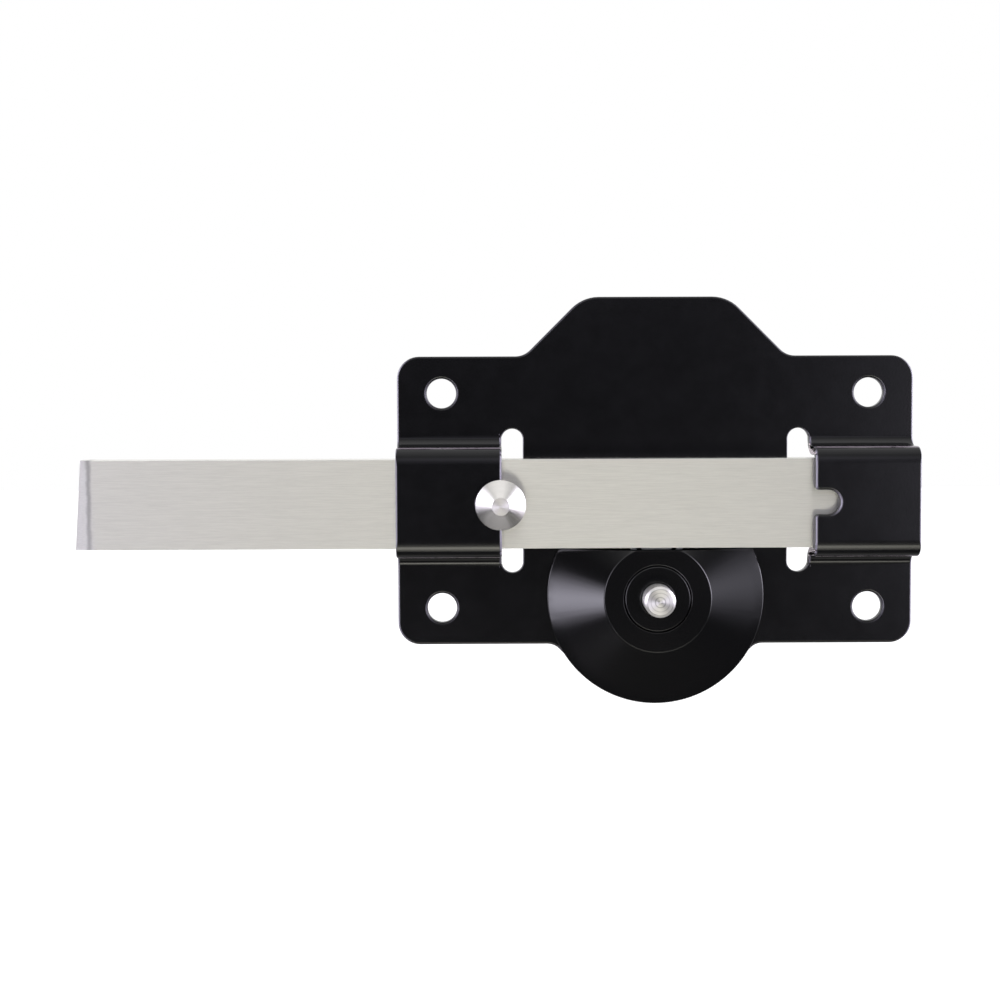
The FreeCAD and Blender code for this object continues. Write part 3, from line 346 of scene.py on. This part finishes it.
def brushed_steel():
    """Steel ground along X: long fine streaks in its tone and its height, and a gloss drawn out across them."""
    made, tree, shader = new_material("brushed_bar_steel")
    streaks = noise(tree, place_of(tree, STREAK_STRETCH), *STREAKS)
    where = place_of(tree)
    wobble = spread(tree, noise(tree, where, NOSE_BAND_WOBBLE_SCALE), -NOSE_BAND_WOBBLE, NOSE_BAND_WOBBLE)
    along = calculated(tree, "ADD", axes_of(tree, where)["X"], wobble)
    # Darkens the colour in an uneven narrow band across the bar near the nose's bevel line.
    tone = marked(tree, between(tree, streaks, *shades(BAR_COLOR, *BAR_SHADES)), along, NOSE_DARK_BANDS)
    tree.links.new(tone, shader.inputs["Base Color"])
    front = axes_of(tree, normal_of(tree), "Y")["Y"]
    tree.links.new(spread(tree, front, EDGE_ROUGHNESS, BAR_ROUGHNESS), shader.inputs["Roughness"])
    shader.inputs["Metallic"].default_value = 1
    drawn_out(tree, shader, node(tree, "ShaderNodeCombineXYZ", {"X": 1}).outputs["Vector"], STREAK_GLOSS)
    bumped(tree, shader, streaks, STREAK_DEPTH)
    return made


bar = bare_copy("bar_brushed", "bolt_bar")
soften(bar, BAR_EDGE_ROUND, BAR_EDGE_STEPS)
finish(bar, brushed_steel(), "bolt", "brushed_stainless", "bolt_bar")


# The knob. Turned in one from stainless bar, as a stem, a thin rim, a cone and a small duller flat, and fixed by
# the spigot that goes into the bolt bar.

TURNED_STEPS = 128
TURNED_SHADES = 0.8, 1.1
RING_DETAIL, RING_ROUGHNESS = 3, 0.7
ROUND_STEPS = 4
ROUND_MOST = 0.45
ON_AXIS = 1e-7
KNOB_RIM = 0.0012
KNOB_HEIGHT = 0.0079
KNOB_FLAT = 0.00295
KNOB_STEM = 0.003
KNOB_EDGE_ROUND = 0.00015


def turned_metal(name, color, axis, roughness, ring_scale, ring_depth, spin=0.75, metallic=1.0,
                 face=0, facing=0.4, cuts=()):
    """Turned about an axis along Y: fine rings, a gloss drawn out across them, and a face of its own roughness."""
    made, tree, shader = new_material(name)
    centred = arrows(tree, "SUBTRACT", node(tree, "ShaderNodeTexCoord").outputs["Object"], axis)
    outward = arrows(tree, "MULTIPLY", centred, (1, 0, 1))
    reach = arrows(tree, "LENGTH", outward)
    rings = node(tree, "ShaderNodeCombineXYZ", {"X": reach, "Y": axes_of(tree, centred)["Y"]}).outputs["Vector"]
    groove = noise(tree, rings, ring_scale, RING_DETAIL, RING_ROUGHNESS)
    tone = marked(tree, between(tree, groove, *shades(color, *TURNED_SHADES)), reach, cuts)
    tree.links.new(tone, shader.inputs["Base Color"])
    faced = calculated(tree, "LESS_THAN", reach, face)
    tree.links.new(spread(tree, faced, roughness, facing), shader.inputs["Roughness"])
    shader.inputs["Metallic"].default_value = metallic
    drawn_out(tree, shader, arrows(tree, "CROSS_PRODUCT", (0, 1, 0), outward), spin)
    bumped(tree, shader, groove, ring_depth)
    return made


def middle(cad_name):
    low, high = box_of(cad_name)
    return (low + high) / 2


def lathe(name, profile, centre, steps=TURNED_STEPS):
    """A closed piece turned about an axis along Y through centre. The profile's corners are (y, radius)."""
    form = bmesh.new()
    rings = []
    for y, radius in profile:
        if radius < ON_AXIS:
            rings.append([form.verts.new((centre[0], y, centre[2]))])
            continue
        angles = [2 * math.pi * step / steps for step in range(steps)]
        rings.append([
            form.verts.new((centre[0] + radius * math.cos(angle), y, centre[2] + radius * math.sin(angle)))
            for angle in angles])
    for here, there in zip(rings, rings[1:] + rings[:1]):
        if len(here) == 1 and len(there) == 1:
            continue
        for step in range(steps):
            after = (step + 1) % steps
            corners = [ring[turn % len(ring)] for ring, turn in (
                (here, step), (here, after), (there, after), (there, step))]
            form.faces.new(list(dict.fromkeys(corners)))
    bmesh.ops.recalc_face_normals(form, faces=form.faces)
    return piece_from(name, form)


def rounded(corners, radius, steps=ROUND_STEPS):
    """The profile with each corner that isn't on the axis rounded by radius."""
    points = [Vector(corner) for corner in corners]
    result = []
    for place, corner in enumerate(points):
        if corner.y < ON_AXIS:
            result.append(tuple(corner))
            continue
        before, after = points[place - 1] - corner, points[(place + 1) % len(points)] - corner
        reach = min(radius, ROUND_MOST * before.length, ROUND_MOST * after.length)
        start, end = corner + before.normalized() * reach, corner + after.normalized() * reach
        for step in range(steps + 1):
            share = step / steps
            result.append(tuple((1 - share) ** 2 * start + 2 * share * (1 - share) * corner + share ** 2 * end))
    return result


knob_low, knob_high = box_of("bolt_knob")
knob_middle = middle("bolt_knob")
KNOB_TOP = knob_low.y
KNOB_FOOT = KNOB_TOP + KNOB_HEIGHT
KNOB_HEAD = knob_high.x - knob_middle.x
KNOB_SPIGOT_END = knob_high.y

knob_steel = turned_metal(
    "turned_knob_steel", (0.72, 0.7, 0.68), tuple(knob_middle), roughness=0.25, ring_scale=5200,
    ring_depth=0.000004, face=KNOB_FLAT, facing=0.55)
knob = lathe("knob_turned", rounded([
    (KNOB_SPIGOT_END, 0),
    (KNOB_SPIGOT_END, KNOB_STEM),
    (KNOB_FOOT, KNOB_STEM),
    (KNOB_FOOT, KNOB_HEAD),
    (KNOB_FOOT - KNOB_RIM, KNOB_HEAD),
    (KNOB_TOP, KNOB_FLAT),
    (KNOB_TOP, 0),
], KNOB_EDGE_ROUND), knob_middle)
keep_flats(knob)
finish(knob, knob_steel, "bolt", "turned_stainless", "bolt_knob")


# The lock's cover. A black cone with a flat boss, cast, turned and coated, and screwed on from behind the plate.
# It is cut off level under the bar, and the cut is left dull.

COVER_EDGE_ROUND = 0.00018
COVER_ROUGHNESS = 0.15
SAWN_ROUGHNESS = 1
LEVEL_FACE = 0.9

cover_middle = middle("release_button")
cover_black = turned_metal(
    "turned_black_coat", (0.0018, 0.0018, 0.0023), tuple(cover_middle), roughness=COVER_ROUGHNESS,
    ring_scale=2600, ring_depth=0.000002, spin=0.4, metallic=0.0)
cover_tree = cover_black.node_tree
cover_shader = cover_tree.nodes["Principled BSDF"]
sawn = calculated(cover_tree, "GREATER_THAN", axes_of(cover_tree, normal_of(cover_tree))["Z"], LEVEL_FACE)
cover_tree.links.new(
    spread(cover_tree, sawn, COVER_ROUGHNESS, SAWN_ROUGHNESS), cover_shader.inputs["Roughness"])
cover_tree.links.new(spread(cover_tree, sawn, 0, 1), cover_shader.inputs["Metallic"])
cover = bare_copy("cover_turned", "lock_cover")
soften(cover, COVER_EDGE_ROUND)
finish(cover, cover_black, "plate", "black_coat", "lock_cover")


# The cover's bush. A turned ring with the cover's black finish, put into the boss from behind until its flange
# meets the seat, so that it stands flush. The button runs in it.

SMALL_EDGE_ROUND = 0.00012
SMALL_EDGE_STEPS = 2

bush = bare_copy("bush_turned", "cover_bush")
soften(bush, SMALL_EDGE_ROUND, SMALL_EDGE_STEPS)
finish(bush, cover_black, "plate", "black_bush", "cover_bush")


# The release button. Turned from stainless steel, with a bright chamfer and the rings that the facing cut left.
# It slides in the bush and carries the pinion on its shank.

BUTTON_CUTS = ((0.0006, 0.0003, 0.72), (0.0017, 0.0003, 0.55), (0.0031, 0.00025, 0.7), (0.0043, 0.0002, 0.6))

button_steel = turned_metal(
    "turned_button_steel", (0.74, 0.725, 0.71), tuple(cover_middle), roughness=0.4, ring_scale=5200,
    ring_depth=0.000004, cuts=BUTTON_CUTS)
button = bare_copy("button_turned", "release_button")
soften(button, SMALL_EDGE_ROUND, SMALL_EDGE_STEPS)
finish(button, button_steel, "drive", "turned_stainless", "release_button")


# The plated steel parts. The pinion, the tailpiece, the barrel's nut, the cover's screws and the cylinder's set
# screw, all of zinc plated steel and all hidden from the front.

METAL_PATCHES = 260, 4
METAL_SHADES = 0.88, 1.08
METAL_SMOOTHER, METAL_ROUGHER = 0.06, 0.08
METAL_GRAIN = 3200, 2
METAL_GRAIN_DEPTH = 0.000003


def plain_metal(name, color, roughness):
    """Metal with faint patches in its tone and gloss, and a fine grain."""
    made, tree, shader = new_material(name)
    place = place_of(tree)
    patches = noise(tree, place, *METAL_PATCHES)
    tree.links.new(between(tree, patches, *shades(color, *METAL_SHADES)), shader.inputs["Base Color"])
    gloss = spread(tree, patches, roughness - METAL_SMOOTHER, roughness + METAL_ROUGHER)
    tree.links.new(gloss, shader.inputs["Roughness"])
    shader.inputs["Metallic"].default_value = 1
    bumped(tree, shader, noise(tree, place, *METAL_GRAIN), METAL_GRAIN_DEPTH)
    return made


def give(slot_name, metal):
    """Gives the metal to every CAD node of the slot."""
    for part in frame["record"]["subparts"]:
        if part["material_slot"] == slot_name:
            for slot in frame["nodes"][part["node"]].material_slots:
                slot.material = metal


give("zinc_steel", plain_metal("zinc_plated_steel", (0.56, 0.57, 0.58), roughness=0.36))


# The key cylinder. Its body, plug, pins and chamber caps are turned and milled from brass, with a satin finish.
# The caps are pressed in over the springs, and the body is held in the barrel by its set screw.

BRASS_COLOR = (0.72, 0.53, 0.25)
BRASS_ROUGHNESS = 0.32

brass = plain_metal("satin_brass", BRASS_COLOR, BRASS_ROUGHNESS)
give("brass", brass)


# The clips. Two rings of oiled spring steel, one on the button's shank behind the pinion and one at the plug's
# inner end, each sprung into a groove.

oiled_steel = plain_metal("oiled_spring_steel", (0.3, 0.31, 0.33), roughness=0.3)
give("spring_steel", oiled_steel)


# The barrel. A brass tube through the gate with a thread cut along it, which starts clear of the nut. The part
# of it in the lock's housing is coloured near black, as painted shade.

THREAD_PITCH = 0.0015
THREAD_DEPTH = 0.0006
THREAD_CREST = 0.55 * THREAD_DEPTH
THREAD_SIDES = 3
THREAD_STEPS = 64
TURNS_CLEAR_OF_NUT, TURNS_CLEAR_OF_END = 3, 2
HOUSING_SHADE_COLOR = (0.01, 0.009, 0.008, 1)
QUARTER = math.pi / 2


def helix_nodes():
    """A wire wound at an even pitch round Z from its own origin, turned as asked, with closed ends."""
    group = bpy.data.node_groups.new("helix", "GeometryNodeTree")
    group.is_modifier = True
    kinds = {
        "Geometry": "Geometry", "Coil radius": "Float", "Turns": "Float", "Height": "Float",
        "Wire radius": "Float", "Wire sides": "Int", "Steps per turn": "Int", "Turned by": "Vector",
        "Starts at": "Vector", "Material": "Material"}
    identifiers = {
        name: group.interface.new_socket(name, in_out="INPUT", socket_type="NodeSocket" + kind).identifier
        for name, kind in kinds.items()}
    group.interface.new_socket("Geometry", in_out="OUTPUT", socket_type="NodeSocketGeometry")
    start = node(group, "NodeGroupInput").outputs
    path = node(group, "GeometryNodeCurveSpiral", {
        "Resolution": start["Steps per turn"], "Rotations": start["Turns"], "Start Radius": start["Coil radius"],
        "End Radius": start["Coil radius"], "Height": start["Height"]})
    section = node(group, "GeometryNodeCurvePrimitiveCircle", {
        "Resolution": start["Wire sides"], "Radius": start["Wire radius"]})
    swept = node(group, "GeometryNodeCurveToMesh", {
        "Curve": path.outputs["Curve"], "Profile Curve": section.outputs["Curve"], "Fill Caps": True})
    moved = node(group, "GeometryNodeTransform", {
        "Geometry": swept.outputs["Mesh"], "Translation": start["Starts at"], "Rotation": start["Turned by"]})
    whole = node(group, "GeometryNodeRealizeInstances", {"Geometry": moved.outputs["Geometry"]})
    painted = node(group, "GeometryNodeSetMaterial", {
        "Geometry": whole.outputs["Geometry"], "Material": start["Material"]})
    node(group, "NodeGroupOutput", {"Geometry": painted.outputs["Geometry"]})
    return group, identifiers


def helix(name, **values):
    """The nodes' helix as a plain mesh in an object of its own."""
    made = placed(name, bpy.data.meshes.new(name + "_seed"))
    maker = made.modifiers.new("helix", "NODES")
    maker.node_group = HELIX
    for key, value in values.items():
        maker[HELIX_INPUTS[key.replace("_", " ")]] = value
    bpy.context.view_layer.update()
    drawn = bpy.data.meshes.new_from_object(made.evaluated_get(bpy.context.evaluated_depsgraph_get()))
    made.modifiers.remove(maker)
    made.data = drawn
    drawn.name = name
    drawn.shade_smooth()
    return made


def joined(name, *pieces):
    form = bmesh.new()
    for piece in pieces:
        form.from_mesh(piece.data)
        bpy.data.objects.remove(piece)
    bmesh.ops.recalc_face_normals(form, faces=form.faces)
    return piece_from(name, form)


def from_barrel_axis(corner):
    return math.hypot(corner.co.x - barrel_middle.x, corner.co.z - barrel_middle.z)


HELIX, HELIX_INPUTS = helix_nodes()
barrel_middle = middle("barrel")
barrel_end, nut_rear = box_of("barrel")[1].y, box_of("barrel_nut")[1].y
core = bare_copy("barrel_core", "barrel")
wall = max(from_barrel_axis(corner) for corner in core.data.vertices if corner.co.y > nut_rear + THREAD_PITCH)
root = wall - THREAD_DEPTH
for corner in core.data.vertices:
    reach = from_barrel_axis(corner)
    if reach > root and corner.co.y > nut_rear:
        share = root / reach
        corner.co.x = barrel_middle.x + (corner.co.x - barrel_middle.x) * share
        corner.co.z = barrel_middle.z + (corner.co.z - barrel_middle.z) * share
thread_start = nut_rear + TURNS_CLEAR_OF_NUT * THREAD_PITCH
thread_end = barrel_end - TURNS_CLEAR_OF_END * THREAD_PITCH
thread = helix(
    "barrel_thread", Coil_radius=wall - THREAD_CREST, Turns=(thread_end - thread_start) / THREAD_PITCH,
    Height=thread_end - thread_start, Wire_radius=THREAD_CREST, Wire_sides=THREAD_SIDES,
    Steps_per_turn=THREAD_STEPS, Turned_by=(-QUARTER, 0, 0),
    Starts_at=(barrel_middle.x, thread_start, barrel_middle.z), Material=brass)
barrel = joined("barrel_threaded", core, thread)
shaded_brass = plain_metal("brass_with_painted_shade", BRASS_COLOR, BRASS_ROUGHNESS)
shaded_brass_tree = shaded_brass.node_tree
shaded_brass_color = shaded_brass_tree.nodes["Principled BSDF"].inputs["Base Color"]
# Painted shade: where the barrel lies inside the housing, below y 0, its colour turns near black.
in_housing = calculated(shaded_brass_tree, "LESS_THAN", axes_of(shaded_brass_tree, place_of(shaded_brass_tree))["Y"], 0)
shaded_brass_tree.links.new(
    between(shaded_brass_tree, in_housing, shaded_brass_color.links[0].from_socket, HOUSING_SHADE_COLOR), shaded_brass_color)
finish(barrel, shaded_brass, "plate", "brass", "barrel")


# The pin springs. Five small coils of oiled spring wire, one over each stack of pins, held down in the cylinder
# by the chamber caps.

PIN_COUNT = 5
SPRING_TURNS = 4.5
SPRING_SIDES = 8
SPRING_STEPS = 24
WIRE_SHARE = 0.12

for count in range(1, PIN_COUNT + 1):
    cad_name = f"pin_spring_{count}"
    spring_low, spring_high = box_of(cad_name)
    across = (spring_high.x - spring_low.x) / 2
    wire = WIRE_SHARE * across
    height = spring_high.z - spring_low.z - 2 * wire
    coil = helix(
        f"pin_spring_wound_{count}", Coil_radius=across - wire, Turns=SPRING_TURNS, Height=height,
        Wire_radius=wire, Wire_sides=SPRING_SIDES, Steps_per_turn=SPRING_STEPS, Turned_by=(0, 0, 0),
        Starts_at=(middle(cad_name).x, middle(cad_name).y, spring_low.z + wire), Material=oiled_steel)
    finish(coil, oiled_steel, "plate", "spring_steel", cad_name)


# The return spring. Oiled steel wire, wound behind the pinion between its clip and the barrel's seat. On the lock
# it is pressed together from its front end by as much as the button goes in; here it is left at rest.

return_spring = bare_copy("return_spring_oiled", "return_spring")
return_spring.data.shade_smooth()
finish(return_spring, oiled_steel, "plate", "spring_steel", "return_spring")
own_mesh(return_spring)


# The studio. A pale floor well below the lock, pure white wherever the camera sees no object, and soft lamps far
# away on the sides, above and below, with the dark of the camera's own side in front.

FLOOR_DROP = 0.42
FLOOR_REACH = 6
FLOOR_FRONT = 0.02
FLOOR_COLORS = (0.35, 0.35, 0.34, 1), (0.37, 0.37, 0.36, 1)
FLOOR_GRAIN_SCALE = 40
FLOOR_ROUGHNESS = 0.9
FLOOR_SHINE = 0.7
WHITE = (1, 1, 1, 1)
PLAIN = (1, 1, 1)
COOL = (0.96, 0.93, 1.08)
WARM = (1.04, 1.02, 0.9)
BEHIND = {"start": -0.25, "end": 0.3, "low": 0.07, "high": 1}
OVERHEAD = {"start": 0.15, "end": 1.1, "low": 0.06, "high": 1.35}
LAMPS = (
    (COOL, {"turn": -41, "lift": -9, "across": 15, "upward": 15, "strength": 8}),
    (COOL, {"turn": 47, "lift": -4, "across": 16, "upward": 21, "strength": 1.6}),
    (COOL, {"turn": 5, "lift": 17, "across": 34, "upward": 15, "strength": 0.8}),
    (COOL, {"turn": 32, "lift": -2, "across": 22, "upward": 15, "strength": 3.4}),
    (COOL, {"turn": -21, "lift": -20, "across": 11, "upward": 24, "strength": 5}),
    (WARM, {"turn": 3, "lift": -31, "across": 34, "upward": 15, "strength": 6}),
    (WARM, {"turn": 0, "lift": -76, "across": 80, "upward": 13, "strength": 0.7}),
    (COOL, {"turn": -86, "lift": 12, "across": 42, "upward": 46, "strength": 7}),
    (COOL, {"turn": 88, "lift": 12, "across": 42, "upward": 46, "strength": 12}),
)
CAMERA_PLACE = (-0.05553, -0.5099, 0.03978)
CAMERA_TILT = math.radians(2.538)
CAMERA_PAN = math.radians(0.323)
CAMERA_ROLL = math.radians(-0.198)
CAMERA_LENS = 53.87
CAMERA_SHIFT = -0.05

floor_mesh = bpy.data.meshes.new("studio_floor")
floor_mesh.from_pydata(
    [(-FLOOR_REACH, FLOOR_FRONT, -FLOOR_DROP), (FLOOR_REACH, FLOOR_FRONT, -FLOOR_DROP),
     (FLOOR_REACH, FLOOR_REACH, -FLOOR_DROP), (-FLOOR_REACH, FLOOR_REACH, -FLOOR_DROP)],
    [], [(0, 1, 2, 3)])
floor = placed("studio_floor", floor_mesh)
floor_paint, floor_tree, floor_shader = new_material("pale_floor")
floor_shader.inputs["Roughness"].default_value = FLOOR_ROUGHNESS
floor_shader.inputs["Emission Color"].default_value = WHITE
floor_grain = noise(floor_tree, place_of(floor_tree), FLOOR_GRAIN_SCALE)
floor_tree.links.new(between(floor_tree, floor_grain, *FLOOR_COLORS), floor_shader.inputs["Base Color"])
seen = node(floor_tree, "ShaderNodeLightPath").outputs["Is Camera Ray"]
floor_tree.links.new(spread(floor_tree, seen, 0, FLOOR_SHINE), floor_shader.inputs["Emission Strength"])
floor_mesh.materials.append(floor_paint)

world = bpy.data.worlds.new("studio")
bpy.context.scene.world = world
world.use_nodes = True
sky = world.node_tree
sky.nodes.clear()
direction = node(sky, "ShaderNodeTexCoord").outputs["Generated"]


def glow(turn, lift, across, upward, strength):
    """A soft lamp far away: turn is its angle to the right of the camera's side, lift its height, in degrees."""
    turn, lift = math.radians(turn), math.radians(lift)
    wide, tall = (math.sin(math.radians(reach)) for reach in (across, upward))
    about = node(sky, "ShaderNodeMapping", {
        "Location": (math.sin(turn) * math.cos(lift), -math.cos(turn) * math.cos(lift), math.sin(lift)),
        "Rotation": (-lift, 0, turn), "Scale": (wide, max(wide, tall), tall), "Vector": direction},
        vector_type="TEXTURE")
    return eased(sky, arrows(sky, "LENGTH", about.outputs["Vector"]), 0, 1, strength, 0)


way = axes_of(sky, direction)
around = calculated(sky, "MAXIMUM", eased(sky, way["Y"], **BEHIND), eased(sky, way["Z"], **OVERHEAD))
light = arrows(sky, "SCALE", PLAIN, around)
for tint, lamp in LAMPS:
    light = arrows(sky, "ADD", light, arrows(sky, "SCALE", tint, glow(**lamp)))

shone = node(sky, "ShaderNodeBackground", {"Color": light})
white = node(sky, "ShaderNodeBackground", {"Color": WHITE})
choose = node(sky, "ShaderNodeMixShader", {
    0: node(sky, "ShaderNodeLightPath").outputs["Is Camera Ray"],
    1: shone.outputs["Background"],
    2: white.outputs["Background"]})
node(sky, "ShaderNodeOutputWorld", {"Surface": choose.outputs["Shader"]})

camera_data = bpy.data.cameras.new("camera")
camera_data.lens = CAMERA_LENS
camera_data.sensor_width = 36
camera_data.shift_y = CAMERA_SHIFT
camera_data.clip_start = 0.01
camera = placed("camera", camera_data)
forward = Vector((
    math.sin(CAMERA_PAN) * math.cos(CAMERA_TILT),
    math.cos(CAMERA_PAN) * math.cos(CAMERA_TILT),
    -math.sin(CAMERA_TILT)))
level = Vector((math.cos(CAMERA_PAN), -math.sin(CAMERA_PAN), 0))
upward = level.cross(forward)
right = math.cos(CAMERA_ROLL) * level + math.sin(CAMERA_ROLL) * upward
up = -math.sin(CAMERA_ROLL) * level + math.cos(CAMERA_ROLL) * upward
turned_to = Matrix((right, up, -forward)).transposed().to_4x4()
camera.matrix_world = Matrix.Translation(CAMERA_PLACE) @ turned_to
bpy.context.scene.camera = camera

bpy.context.scene.view_settings.view_transform = "Standard"
